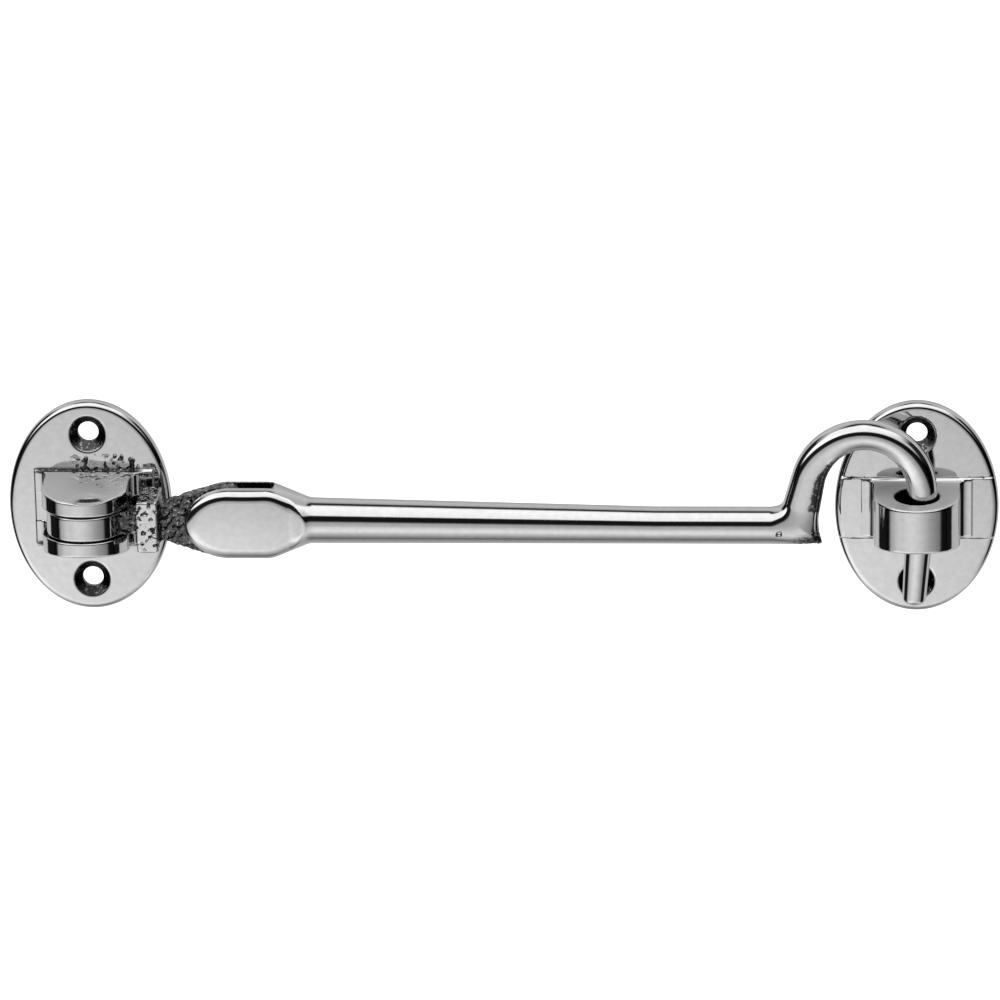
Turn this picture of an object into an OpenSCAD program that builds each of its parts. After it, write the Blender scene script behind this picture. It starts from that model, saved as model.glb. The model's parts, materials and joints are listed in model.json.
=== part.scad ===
// Hook and eye latch, the kind called a cabin hook, six inches between plate centres.
// Cast, polished and plated: two oval plates, a swivelling knuckle, a forked arm and two flush rivets.
// Modelled in a wall frame: x along the arm, y up, z out of the wall. in_use() turns it to Z up.
// Origin: the middle of the hook plate's back. The arm is hooked into the eye, as it is used.

/* [Plates] */
// Width of both oval plates
plate_w = 30; // [28:0.5:33]
// Height of both oval plates
plate_h = 40; // [39:0.5:44]
// Thickness of both plates
plate_t = 3; // [2.6:0.1:4]
// Rounding of a plate's front edge
plate_edge = 1.8; // [1:0.1:2]
// Distance between plate centres along the arm
plate_span = 152; // [140:1:220]
// Distance between the two screw holes of a plate
screw_spacing = 28; // [27:0.5:30]
// Screw hole, clear for a 3.5 mm screw
screw_hole_d = 3.8; // [3.4:0.1:4.2]
// Mouth of the countersink
countersink_d = 6.9; // [6:0.1:7.6]

/* [Lugs] */
// Width of the ears and of the eye
lug_w = 15.8; // [15.2:0.2:17]
// How far the lugs stand out from the plate's face
lug_reach = 14.6; // [14.2:0.1:15.5]
// Fillet where a lug's flank meets the plate
lug_root_r = 1.5; // [0.8:0.1:2]
// Height over both ears at the front
ear_front_h = 10.4; // [9.8:0.1:12]
// Height over both ears at the plate
ear_root_h = 14; // [12:0.1:15.5]
// Height of the eye at the front
eye_front_h = 8.2; // [7:0.1:10]
// Height of the eye at the plate
eye_root_h = 10.9; // [10:0.1:12.5]
// Bore of the eye
eye_bore_d = 8.1; // [7.8:0.1:8.6]
// Height of the low band that crosses the eye's plate
band_rise = 0.25; // [0.1:0.05:0.5]
// How far the band stands above and below the eye's root
band_lip = 0.3; // [0.2:0.05:0.6]

/* [Swivel] */
// Arm axis and pivot axis, from the plate's face
axis_out = 7.5; // [7.3:0.1:8]
// Height of the barrel between the ears
barrel_h = 4.4; // [4:0.1:5]
// Gap between the barrel and each ear
barrel_gap = 0.3; // [0.2:0.05:0.5]
// Gap between the barrel and the plate behind it
barrel_back = 0.5; // [0.4:0.1:1]
// Pivot pin
pin_d = 4.6; // [4:0.1:5.4]
// Thickness of the web from the barrel to the crossbar
web_t = 5; // [3.4:0.2:6]
// Gap between an ear's flank and the crossbar
bar_gap = 2; // [1.6:0.1:3]
// Crossbar, along the arm
bar_t = 4; // [3:0.1:4.5]
// Crossbar, out of the wall
bar_w = 10; // [8:0.1:10.6]
// Crossbar height
bar_h = 9.8; // [9:0.1:12]
// Thickness of the tang in the fork
tang_t = 3.4; // [2.8:0.1:3.8]
// Gap between the tang and each cheek of the fork
tang_gap = 0.2; // [0.15:0.05:0.3]
// Height of the tang's neck at the crossbar
neck_h = 6.8; // [5.6:0.2:7]
// Radius of the tang's round end
tang_r = 6.8; // [6:0.1:6.9]
// Distance from the crossbar to the lift rivet
rivet_reach = 11.4; // [11:0.1:13]
// Lift rivet
rivet_d = 4; // [3:0.1:4.6]

/* [Arm head] */
// Largest radius of the turned head
head_r = 7.05; // [6.8:0.05:7.6]
// Thickness across the two ground flats
head_t = 8.4; // [8:0.1:9]
// Radius of the head's bullet end
end_r = 10; // [8:0.5:12]
// Distance from the rivet to the head's bullet end
end_x = 7; // [6.6:0.1:7.4]
// Radius of the small flat on the bullet end
end_flat = 2.5; // [2:0.1:3.5]
// Distance from the rivet to where the head starts to taper
cone_x = 9.2; // [8.6:0.1:10]
// Length of the head's taper
cone_len = 6.8; // [6:0.1:9]
// Rounding where the taper starts
cone_r = 6; // [3:0.5:8]
// Radius of the hollow where the taper meets the shank
hollow_r = 2; // [1:0.5:4]
// Distance from the rivet to the slot's closed end
slot_x = 9.5; // [8.8:0.1:10.5]

/* [Arm shank and hook] */
// Shank diameter at the head
shank_d = 8.5; // [8:0.1:9]
// Shank diameter at the elbow
elbow_d = 6.86; // [6.4:0.02:7.4]
// Where the taper ends, as a share of the span
taper_end = 0.685; // [0.5:0.005:0.75]
// Radius of the hook's round bow, on its centre line
bow_r = 10.65; // [10.4:0.05:11.2]
// Height of the bow's centre above the plate centres
bow_y = 5.75; // [5.2:0.05:6.4]
// Rod diameter in the bow
bow_d = 5.5; // [5.2:0.1:5.7]
// Width of the leg above the elbow, seen from the front
leg_w = 5.6; // [5.2:0.1:6]
// How far the leg swells on its inner side at the bow
leg_swell = 0.7; // [0:0.1:1]
// How far the leg swells on its inner side at the heel
heel_swell = 1.25; // [0.7:0.05:1.5]
// Lean of the leg
leg_lean = 16; // [8:1:22]
// Radius of the corner between shank and leg
elbow_fillet = 2.6; // [2:0.1:3.6]
// How far the heel points out past the leg
heel_out = 1.85; // [1.2:0.05:3]
// Inward lean of the hook's end
tip_lean = 4; // [2:0.5:5]
// Depth of the tip below the plate centres
tip_y = 16; // [14:0.1:20]
// Diameter at the tip
tip_d = 4.3; // [3.6:0.1:5]
// Gap between the hook and the wall of the eye, on the far side
seat_gap = 0.35; // [0.3:0.05:0.6]

/* [Clearances] */
// Radial running clearance on both pins
run_gap = 0.05; // [0.03:0.01:0.09]

/* [Hidden] */
$fn = 96;
lap = 0.5;
step = 0.02;
chrome = [0.80, 0.80, 0.82];
steel = [0.62, 0.62, 0.64];
// Lug plan: a full round nose on straight flanks.
lug_half = lug_w / 2;
nose_z = lug_reach - lug_half;
band_inset = 0.2;
// Swivel.
axis_z = plate_t + axis_out;
barrel_r = axis_out - barrel_back;
ear_slot = barrel_h + 2 * barrel_gap;
bar_x = lug_half + bar_gap;
tang_x = bar_x + bar_t;
rivet_x = tang_x + rivet_reach;
slot_w = tang_t + 2 * tang_gap;
// Head profile: bullet end, straight crown, taper and hollow.
shank_r = shank_d / 2;
head_end = rivet_x - end_x;
end_turn = asin((end_r - head_r + end_flat) / end_r);
end_cx = head_end + end_r * cos(end_turn);
cone_start = rivet_x + cone_x;
cone_end = cone_start + cone_len;
cone_turn = atan((head_r - shank_r - step) / cone_len);
cone_cx = cone_start - cone_r * tan(cone_turn / 2);
hollow_cx = cone_end + hollow_r * tan(cone_turn / 2);
hollow_cy = shank_r + step + hollow_r;
// Shank: its underside is one straight line, so the axis drops as it tapers.
elbow_r = elbow_d / 2;
shank_y = elbow_r - shank_r;
taper_x = plate_span * taper_end;
// Hook: shank, elbow, leg, bow and tip follow one centre line.
bow_rod = bow_d / 2;
tip_r = tip_d / 2;
leg_r = leg_w / 2;
bow_x = plate_span + eye_bore_d / 2 - bow_rod - seat_gap - bow_r;
bend_r = elbow_fillet + leg_r;
bend_turn = 90 - leg_lean;
bend_y = shank_y + bend_r;
leg_top_x = bow_x - bow_r * cos(leg_lean);
leg_top_y = bow_y + bow_r * sin(leg_lean);
leg_foot_y = bend_y - bend_r * cos(bend_turn);
leg_len = (leg_top_y - leg_foot_y) / cos(leg_lean);
leg_foot_x = leg_top_x - leg_len * sin(leg_lean);
bend_x = leg_foot_x - bend_r * sin(bend_turn);
heel_y = 0 - shank_r;
heel_x = leg_foot_x + leg_r * cos(leg_lean) + heel_out;
heel_turn = atan((heel_x - bend_x) / (bend_y - heel_y));
heel_lean = leg_lean - atan((leg_r + heel_swell - bow_rod - leg_swell) / leg_len);
heel_from_x = leg_foot_x + (leg_r + heel_swell) * cos(leg_lean);
heel_from_y = leg_foot_y - (leg_r + heel_swell) * sin(leg_lean);
heel_dx = heel_x - heel_from_x;
heel_dy = heel_y - heel_from_y;
heel_r = (heel_dx * heel_dx + heel_dy * heel_dy) / 2 / (heel_dx * cos(heel_lean) - heel_dy * sin(heel_lean));
heel_cx = heel_from_x + heel_r * cos(heel_lean) - bend_x;
heel_cy = heel_from_y - heel_r * sin(heel_lean) - bend_y;
tip_from_x = bow_x + bow_r * cos(tip_lean);
tip_from_y = bow_y - bow_r * sin(tip_lean);
tip_round = 0.6;
tip_len = (tip_from_y + tip_y - tip_round * tip_r) / cos(tip_lean);
loft_n = 32;
oval_n = 112;

function mix(a, b, t) = a + (b - a) * t;
function arc_point(x, y, r, a) = [x + r * cos(a), y + r * sin(a)];
function ease(t) = t * t * (3 - 2 * t);
function oval_points(inset) = [
    for (k = [0 : oval_n - 1])
        let (f = 360 * (k + 0.5) / oval_n)
        [(plate_w / 2 - inset) * cos(f), (plate_h / 2 - inset) * sin(f)]];
function sgn_pow(v, p) = sign(v) * pow(abs(v), p);

// Reach of the elbow's outer side from the bend centre: a straight sole, then a hollow back, to a pointed heel.
function heel_reach(a) = let (far = heel_cx * sin(a) - heel_cy * cos(a)) a <= heel_turn
    ? (bend_y - heel_y) / cos(a)
    : far - sqrt(far * far - heel_cx * heel_cx - heel_cy * heel_cy + heel_r * heel_r);

// A station: centre x and y, outward angle from straight down, inner, outer and side reach, squareness.
function round_station(x, y, r) = [x, y, 0, r, r, r, 2];

function elbow_station(a) = [
    bend_x + bend_r * sin(a),
    bend_y - bend_r * cos(a),
    a,
    mix(elbow_r, leg_r, ease(a / bend_turn)),
    heel_reach(a) - bend_r,
    mix(elbow_r, bow_rod, ease(a / bend_turn)),
    mix(2, 3, ease(min(1, 2 * a / bend_turn)))];

function leg_station(t) = [
    mix(leg_foot_x, leg_top_x, t),
    mix(leg_foot_y, leg_top_y, t),
    bend_turn,
    mix(leg_r, bow_rod, t),
    mix(leg_r + heel_swell, bow_rod + leg_swell, t),
    bow_rod,
    3];

function bow_station(t) = let (b = mix(180 - leg_lean, 0 - tip_lean, t)) [
    bow_x + bow_r * cos(b),
    bow_y + bow_r * sin(b),
    90 + b + 180,
    bow_rod,
    bow_rod + mix(leg_swell, 0, ease(min(1, 2 * t))),
    bow_rod,
    mix(3, 2, ease(min(1, 2 * t)))];

function tip_station(s, r) = [
    tip_from_x - s * sin(tip_lean),
    tip_from_y - s * cos(tip_lean),
    270 - tip_lean,
    r,
    r,
    r,
    2];

function station_ring(s) = [
    for (k = [0 : loft_n - 1])
        let (f = 360 * k / loft_n)
        let (u = sgn_pow(cos(f), 2 / s[6]) * (cos(f) > 0 ? s[4] : s[3]))
        let (w = sgn_pow(sin(f), 2 / s[6]) * s[5])
        [s[0] + u * sin(s[2]), s[1] - u * cos(s[2]), w]];

module in_use() {
    rotate([90, 0, 0])
        children();
}

// An oval slab whose front edge is rounded: rings of the same oval, drawn in step by step.
module oval_plate() {
    rings = concat(
        [[0, 0]],
        [for (b = [0 : 15 : 90]) [plate_edge * (1 - cos(b)), plate_t - plate_edge * (1 - sin(b))]]);
    rows = len(rings);
    points = [for (r = rings) each [for (p = oval_points(r[0])) [p[0], p[1], r[1]]]];
    sides = [
        for (i = [0 : rows - 2])
            for (k = [0 : oval_n - 1])
                let (a = i * oval_n + k)
                let (b = i * oval_n + (k + 1) % oval_n)
                each [[a, b + oval_n, b], [a, a + oval_n, b + oval_n]]];
    first = [for (k = [0 : oval_n - 1]) k];
    last = [for (k = [oval_n - 1 : -1 : 0]) (rows - 1) * oval_n + k];
    polyhedron(points = points, faces = concat(sides, [first, last]), convexity = 4);
}

module screw_holes() {
    sink = (countersink_d - screw_hole_d) / 2;
    for (s = [1, -1])
        translate([0, s * screw_spacing / 2, 0]) {
            translate([0, 0, -1])
                cylinder(h = plate_t + 2, d = screw_hole_d);
            translate([0, 0, plate_t - sink])
                cylinder(h = sink + lap, r1 = screw_hole_d / 2, r2 = countersink_d / 2 + lap);
        }
}

// Plan of a lug, from the plate's face outward: filleted foot, straight flanks, round nose.
module lug_plan() {
    foot_x = lug_half + lug_root_r;
    polygon(concat(
        [[foot_x, 0 - lap]],
        [for (i = [0 : 6]) arc_point(foot_x, lug_root_r, lug_root_r, mix(270, 180, i / 6))],
        [for (i = [0 : 36]) arc_point(0, nose_z, lug_half, 5 * i)],
        [for (i = [0 : 6]) arc_point(0 - foot_x, lug_root_r, lug_root_r, mix(0, -90, i / 6))],
        [[0 - foot_x, 0 - lap]]));
}

// Side view of a lug: both faces fall towards the front.
module lug_wedge(root_h, front_h) {
    drop = (root_h - front_h) / 2 / lug_reach;
    z0 = plate_t - 1;
    z1 = plate_t + lug_reach + 1;
    y0 = root_h / 2 + drop;
    y1 = front_h / 2 - drop;
    rotate([0, -90, 0])
        linear_extrude(height = 60, center = true)
            polygon([[z0, y0], [z1, y1], [z1, 0 - y1], [z0, 0 - y0]]);
}

module lug(root_h, front_h) {
    intersection() {
        translate([0, 0, plate_t])
            rotate([90, 0, 0])
                linear_extrude(height = 40, center = true)
                    lug_plan();
        lug_wedge(root_h, front_h);
    }
}

module hook_plate() {
    color(chrome)
        difference() {
            union() {
                oval_plate();
                difference() {
                    lug(ear_root_h, ear_front_h);
                    translate([-30, 0 - ear_slot / 2, plate_t])
                        cube([60, ear_slot, lug_reach + 5]);
                }
            }
            screw_holes();
            translate([0, 0, axis_z])
                rotate([90, 0, 0])
                    cylinder(h = 40, d = pin_d, center = true);
        }
}

// The pin's ends are dressed flush with the sloping faces of the ears.
module pivot_pin() {
    color(steel)
        intersection() {
            translate([0, 0, axis_z])
                rotate([90, 0, 0])
                    cylinder(h = 40, d = pin_d, center = true);
            lug_wedge(ear_root_h, ear_front_h);
        }
}

module tang_plan() {
    lift = asin((tang_r - neck_h / 2) / rivet_reach);
    translate([rivet_x, 0])
        circle(tang_r);
    polygon([
        [tang_x - lap, neck_h / 2],
        [rivet_x - tang_r * sin(lift), tang_r * cos(lift)],
        [rivet_x - tang_r * sin(lift), 0 - tang_r * cos(lift)],
        [tang_x - lap, 0 - neck_h / 2]]);
}

module swivel_knuckle() {
    color(chrome)
        difference() {
            union() {
                translate([0, 0, axis_z])
                    rotate([90, 0, 0])
                        cylinder(h = barrel_h, r = barrel_r, center = true);
                translate([0, 0 - barrel_h / 2, axis_z - web_t / 2])
                    cube([bar_x + lap, barrel_h, web_t]);
                translate([bar_x, 0 - bar_h / 2, axis_z - bar_w / 2])
                    cube([bar_t, bar_h, bar_w]);
                translate([0, 0, axis_z - tang_t / 2])
                    linear_extrude(height = tang_t)
                        tang_plan();
            }
            translate([0, 0, axis_z])
                rotate([90, 0, 0])
                    cylinder(h = 40, d = pin_d + 2 * run_gap, center = true);
            translate([rivet_x, 0, axis_z])
                cylinder(h = 40, d = rivet_d + 2 * run_gap, center = true);
        }
}

module lift_rivet() {
    color(steel)
        translate([rivet_x, 0, axis_z])
            cylinder(h = head_t, d = rivet_d, center = true);
}

// Half section of the turned head, along the arm.
module head_profile() {
    polygon(concat(
        [[head_end, 0]],
        [for (i = [0 : 10]) arc_point(end_cx, head_r - end_r, end_r, mix(180 - end_turn, 90, i / 10))],
        [for (i = [0 : 5]) arc_point(cone_cx, head_r - cone_r, cone_r, mix(90, 90 - cone_turn, i / 5))],
        [for (i = [0 : 4]) arc_point(hollow_cx, hollow_cy, hollow_r, mix(270 - cone_turn, 270, i / 4))],
        [[hollow_cx + lap, shank_r + step], [hollow_cx + lap, 0]]));
}

// A turned head with two ground flats.
module arm_head() {
    intersection() {
        rotate([0, 90, 0])
            rotate_extrude()
                rotate(90)
                    mirror([0, 1])
                        head_profile();
        translate([0, -20, 0 - head_t / 2])
            cube([plate_span, 40, head_t]);
    }
}

// One loft along the shank, through the elbow and its heel, the leg and the bow to the tip.
module shank_and_hook() {
    stations = concat(
        [round_station(hollow_cx, 0, shank_r), round_station(taper_x, shank_y, elbow_r)],
        [for (i = [0 : 8]) elbow_station(heel_turn * i / 8)],
        [for (i = [1 : 8]) elbow_station(mix(heel_turn, bend_turn, i / 8))],
        [for (i = [1 : 3]) leg_station(i / 3)],
        [for (i = [1 : 26]) bow_station(i / 26)],
        [for (i = [1 : 3]) tip_station(tip_len * i / 3, mix(bow_rod, tip_r, i / 3))],
        [for (b = [25, 50, 70, 84]) tip_station(tip_len + tip_r * tip_round * sin(b), tip_r * cos(b) + step)]);
    rows = len(stations);
    points = [for (s = stations) each station_ring(s)];
    sides = [
        for (i = [0 : rows - 2])
            for (k = [0 : loft_n - 1])
                let (a = i * loft_n + k)
                let (b = i * loft_n + (k + 1) % loft_n)
                each [[a, b, b + loft_n], [a, b + loft_n, a + loft_n]]];
    first = [for (k = [loft_n - 1 : -1 : 0]) k];
    last = [for (k = [0 : loft_n - 1]) (rows - 1) * loft_n + k];
    polyhedron(points = points, faces = concat(sides, [first, last]), convexity = 6);
}

module hook_arm() {
    color(chrome)
        translate([0, 0, axis_z])
            difference() {
                union() {
                    arm_head();
                    shank_and_hook();
                }
                translate([0, -20, 0 - slot_w / 2])
                    cube([rivet_x + slot_x, 40, slot_w]);
                translate([rivet_x, 0, 0])
                    cylinder(h = 40, d = rivet_d, center = true);
            }
}

// A low band as tall as the eye's root crosses its plate, a little inside the rounded edge.
module eye_band() {
    intersection() {
        linear_extrude(height = plate_t + band_rise)
            polygon(oval_points(plate_edge + band_inset));
        translate([0 - plate_w, 0 - eye_root_h / 2 - band_lip, lap])
            cube([2 * plate_w, eye_root_h + 2 * band_lip, plate_t + 1]);
    }
}

module eye_plate() {
    color(chrome)
        translate([plate_span, 0, 0])
            difference() {
                union() {
                    oval_plate();
                    eye_band();
                    lug(eye_root_h, eye_front_h);
                }
                screw_holes();
                translate([0, 0, axis_z])
                    rotate([90, 0, 0])
                        cylinder(h = 40, d = eye_bore_d, center = true);
            }
}

in_use() hook_plate();
in_use() pivot_pin();
in_use() swivel_knuckle();
in_use() lift_rivet();
in_use() hook_arm();
in_use() eye_plate();
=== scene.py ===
"""Dresses the hook and eye latch: polished, chrome plated castings with rounded edges.

Shapes are written in millimetres in a wall frame: u along the arm, v up, w out of the wall.
Each casting is a signed distance field, so that its edges are rounded and its corners filleted.
The field is meshed on an even grid, settled on its surface, and shaded with its own normals.
"""
import json
import math

import bpy
import numpy as np
from mathutils import Matrix, Vector


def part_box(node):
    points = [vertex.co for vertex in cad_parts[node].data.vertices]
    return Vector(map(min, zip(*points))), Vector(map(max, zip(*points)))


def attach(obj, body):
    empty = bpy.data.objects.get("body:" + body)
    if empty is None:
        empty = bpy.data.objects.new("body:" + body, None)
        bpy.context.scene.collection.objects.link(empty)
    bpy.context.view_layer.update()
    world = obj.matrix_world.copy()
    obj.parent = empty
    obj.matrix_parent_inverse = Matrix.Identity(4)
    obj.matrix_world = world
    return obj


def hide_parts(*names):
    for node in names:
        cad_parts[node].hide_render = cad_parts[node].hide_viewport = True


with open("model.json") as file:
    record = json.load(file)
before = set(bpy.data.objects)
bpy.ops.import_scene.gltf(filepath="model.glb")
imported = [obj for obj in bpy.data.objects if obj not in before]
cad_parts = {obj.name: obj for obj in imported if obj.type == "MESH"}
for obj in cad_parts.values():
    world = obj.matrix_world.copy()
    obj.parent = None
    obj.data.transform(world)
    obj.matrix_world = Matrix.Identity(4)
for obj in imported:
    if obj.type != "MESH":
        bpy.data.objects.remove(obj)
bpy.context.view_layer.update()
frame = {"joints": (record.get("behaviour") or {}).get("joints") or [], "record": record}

MM = 0.001

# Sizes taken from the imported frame, in millimetres.


def wall_box(node):
    """A node's lowest and highest corner in the wall frame."""
    low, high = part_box(node)
    return (np.array([low.x, low.z, -high.y]) / MM, np.array([high.x, high.z, -low.y]) / MM)


def wall_point(point):
    """A point of the frame, turned into the wall frame."""
    return np.array([point[0], point[2], -point[1]]) / MM


joints = {joint["name"]: joint for joint in frame["joints"]}
mounts = {mount["name"]: mount for mount in frame["record"]["mounts"]}
hook_low, hook_high = wall_box("hook_plate")
eye_low, eye_high = wall_box("eye_plate")
knuckle_low, knuckle_high = wall_box("swivel_knuckle")
arm_low, arm_high = wall_box("hook_arm")
rivet_low, rivet_high = wall_box("lift_rivet")
pin_low, pin_high = wall_box("pivot_pin")

PLATE_W = hook_high[0] - hook_low[0]
PLATE_H = hook_high[1] - hook_low[1]
EYE_U = wall_point(mounts["eye_plate_screws"]["pos_m"])[0]
SCREW_SPACING = mounts["hook_plate_screws"]["dims"]["spacing_y_mm"]
SCREW_R = mounts["hook_plate_screws"]["dims"]["hole_r_mm"]
AXIS_W = wall_point(joints["swing"]["pos_m"])[2]
RIVET_U = wall_point(joints["lift"]["pos_m"])[0]
LUG_FRONT = hook_high[2]
HEAD_T = rivet_high[2] - rivet_low[2]
TIP_V = arm_low[1]

# Plates and lugs. Main sizes that the frame doesn't hold repeat the source's own values; small edges,
# domes, pits and dents are this script's.
PLATE_T = 3.0
RIM_R = 1.3
BACK_R = 0.3
DOME_R_ACROSS = 170.0
DOME_R_UP = 500.0
SINK_R = 3.45
LUG_HALF = 7.9
ROOT_R = 1.5
EAR_ROOT_R = 3.4
EDGE_R = 0.4
LUG_MARGIN = 0.5
SINK_EDGE_R = 0.2
EAR_FRONT_H = 10.4
EAR_ROOT_H = 14.0
EAR_SLOT = 5.0
EAR_SLOT_EDGE_R = 0.3
EAR_FILLET_R = 0.35
DISH_R = 14.0
DISH_DEPTH = 0.35
DISH_U = 1.5
DISH_OUT = 0.5
DISH_EDGE_R = 0.15
PATCH_U = (-3.5, -1.5, 8.0, 9.6)
PATCH_V = (6.4, 6.9, 9.0, 10.2)
PATCH_W = (PLATE_T - 1, PLATE_T - 0.6)
PATCH_DEPTH = 0.42
EAR_PITS_U = (-3, -1, 6, 7.5)
EAR_PITS_V = (5, 5.6)
EAR_PITS_W = (4, 5, 9, 12)
EAR_PITS_DEPTH = 0.2
EYE_FRONT_H = 8.2
EYE_ROOT_H = 10.9
EYE_BORE_R = 4.05
EYE_BORE_EDGE_R = 0.3
EYE_FILLET_R = 0.3
BAND_RISE = 0.25
BAND_LIP = 0.3
BAND_SLOPE = 0.18
PIN_R = 2.3
PIN_PROUD = 0.03
PIN_EDGE_R = 0.1

# Swivel knuckle.
BARREL_R = 7.0
BARREL_H = 4.4
BARREL_EDGE_R = 0.35
BORE_CLEARANCE = 0.05
BORE_EDGE_R = 0.1
WEB_T = 5.0
WEB_EDGE_R = 0.3
WEB_LAP = 0.5
WEB_FILLET_R = 0.6
BAR_GAP = 2.0
BAR_U = LUG_HALF + BAR_GAP
BAR_T = 4.0
BAR_W = 10.0
BAR_H = 9.8
BAR_EDGE_R = 0.5
BAR_FILLET_R = 0.5
BAR_PITS_DEPTH = 0.3
TANG_T = 3.4
TANG_R = 6.8
TANG_EDGE_R = 0.3
TANG_FILLET_R = 0.8
NECK_H = 6.8
NECK_BACK = 2
NECK_EASE = 0.3
NECK_LAP = 1
CASTING_WAVE = 0.11
CASTING_SUNK = 0.13
# Share of dark skin on the knuckle: partly painted shade.
CASTING_SKIN_AND_SHADE = 0.95

# Arm.
HEAD_R = 7.05
HEAD_EDGE_R = 1.0
HEAD_DOME_R = 100.0
RIVET_R = 2.0
RIVET_SUNK = 0.3
RIVET_EDGE_R = 0.3
END_R = 10.0
END_FLAT = 2.5
END_EDGE_R = 0.6
HEAD_BACK = 7.0
HEAD_END_U = RIVET_U - HEAD_BACK
END_U = HEAD_END_U + math.sqrt(END_R ** 2 - (END_R - HEAD_R + END_FLAT) ** 2)
CONE_X = 9.2
CONE_LEN = 6.8
CONE_U = RIVET_U + CONE_X
CONE_END_U = CONE_U + CONE_LEN
CONE_BLEND = 0.5
HOLLOW_BLEND = 0.3
SLOT_T = 3.8
SLOT_X = 9.5
SLOT_U = RIVET_U + SLOT_X
SLOT_END_R = 1.2
SLOT_EDGE_R = 0.3
FLATS_FADE = (CONE_U + 3, CONE_END_U - 0.5)
FLATS_EASE = 0.3
FLATS_LEAST_R = 0.1
FLATS_REACH = 2
HEAD_LAP = 1
SHANK_R = 4.25
CONE_SLOPE = (HEAD_R - SHANK_R) / (CONE_END_U - CONE_U)
ELBOW_R = 3.43
TAPER_SHARE = 0.685
TAPER_U = TAPER_SHARE * EYE_U
BOW_R = 10.65
BOW_V = 5.75
BOW_ROD = 2.75
SEAT_GAP = 0.35
LEG_R = 2.8
LEG_SWELL = 0.7
HEEL_SWELL = 1.25
LEG_LEAN = math.radians(16)
ELBOW_FILLET = 2.6
HEEL_OUT = 1.85
HEEL_ROUND = 0.5
HEEL_WAVE = 0.05
HEEL_SUNK = 0.06
DENT_BACK = 8.0
DENT_V = -1.6
DENT_W = 3.2
DENT_R = 0.55
DENT_EDGE_R = 0.1
TIP_LEAN = math.radians(4)
TIP_R = 2.15
TIP_ROUND = 0.6

# Where the finish changes: each pair is the start and end of a soft step, each four a window.
# The countersinks' dark colour is painted shade.
SINK_SHADE = (SINK_R + 0.1, SINK_R - 0.2)
# Less polished lug faces, also painted paler as a sheen.
SATIN_SKIN = (-0.3, -0.05)
SATIN_RISE = (0.1, 0.8)
# A dark line painted as shade in the corners of the lugs.
CORNER_NEAR = (0.75, 0.3)
CORNER_ENDS = (LUG_HALF + 2.5, LUG_HALF + 1)
CORNER_RISE = (2, 2.5)
PATCH_LEVELS = (0.05, 0.9)
EAR_PITS_LEVELS = (0.9, 1.4)
PITS_SKIN = (0.05, 0.2)
# The inside of the eye's bore is made darker.
EYE_BORE_DARK = (0.25, 0.05)
BAR_ACROSS = (BAR_U - 0.3, BAR_U + 0.1, BAR_U + BAR_T - 0.3, BAR_U + BAR_T + 0.1)
BAR_FACE = (BAR_W / 2 - 0.9, BAR_W / 2 - 0.3)
BAR_TOP = (BAR_H / 2 - 0.6, BAR_H / 2 - 0.2)
BAR_TOP_SHARE = 0.6
BAR_PITS_LEVELS = (0.5, 1.2)
BAR_PITS_SKIN = (0.04, 0.16)
CASTING_START = (BARREL_R - 0.9, BARREL_R - 0.1)
FORK_SKIN = (SLOT_T / 2 + 0.15, SLOT_T / 2)
FORK_END = (SLOT_U + 0.3, SLOT_U)
HEEL_SKIN = (2.6, 1.0)
HEEL_SKIN_BACK = 1
HEEL_SKIN_LONG = 2.4
HEEL_SKIN_HIGH = 1.3
# The inner side of the crook is painted dark as a reflection.
CROOK_EDGE = 0.38
CROOK_WIDTH = 0.12
CROOK_WAVE = 0.04
CROOK_NARROWS = (0, 0.3)
CROOK_END = (0.75, 0.4)

# Distance fields. A field is negative inside; a and b are fields, r a radius.


def round_or(a, b, r):
    """Union with a fillet of radius r in the corner."""
    return np.maximum(r, np.minimum(a, b)) - np.hypot(np.maximum(r - a, 0), np.maximum(r - b, 0))


def round_and(a, b, r):
    """Intersection with its edge rounded to radius r."""
    return np.minimum(-r, np.maximum(a, b)) + np.hypot(np.maximum(r + a, 0), np.maximum(r + b, 0))


def soft_max(a, b, k):
    """The larger of two fields that meet at a shallow angle, blended over a difference of k."""
    return np.maximum(a, b) + np.maximum(k - np.abs(a - b), 0) ** 2 / (4 * k)


def smooth(low, high, x):
    """A soft step from 0 at low to 1 at high; low may be the larger of the two."""
    t = np.clip((x - low) / (high - low), 0, 1)
    return t * t * (3 - 2 * t)


def window(x, rise, full, fall, end):
    """Rises softly from 0 to 1, and falls back to 0."""
    return smooth(rise, full, x) * smooth(end, fall, x)


def waves(seed, shortest, longest, count=28):
    """A random field of overlapping waves around 0, seldom beyond 2, with wavelengths in millimetres."""
    rng = np.random.default_rng(seed)
    way = rng.normal(size=(count, 3))
    way /= np.linalg.norm(way, axis=1)[:, None]
    way *= (2 * math.pi / rng.uniform(shortest, longest, count))[:, None]
    phase = rng.uniform(0, 2 * math.pi, count)

    def field(u, v, w):
        total = np.zeros(np.broadcast(u, v, w).shape)
        for k in range(count):
            total += np.sin(way[k, 0] * u + way[k, 1] * v + way[k, 2] * w + phase[k])
        return total / math.sqrt(count)
    return field


def ellipse(u, v, half_u, half_v):
    """Distance from an oval's outline, near enough close to it."""
    reach = np.maximum(np.hypot(u / half_u, v / half_v), 1e-6)
    slope = np.hypot(u / half_u ** 2, v / half_v ** 2)
    return reach * (reach - 1) / np.maximum(slope, 1e-6 / half_v)


def oval_plate(u, v, w, face):
    """An oval slab with a rounded rim. Its polished face is very slightly domed."""
    dome = u ** 2 / (2 * DOME_R_ACROSS) + v ** 2 / (2 * DOME_R_UP)
    slab = round_and(ellipse(u, v, PLATE_W / 2, PLATE_H / 2), w - face + dome, RIM_R)
    return round_and(slab, -w, BACK_R)


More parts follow.
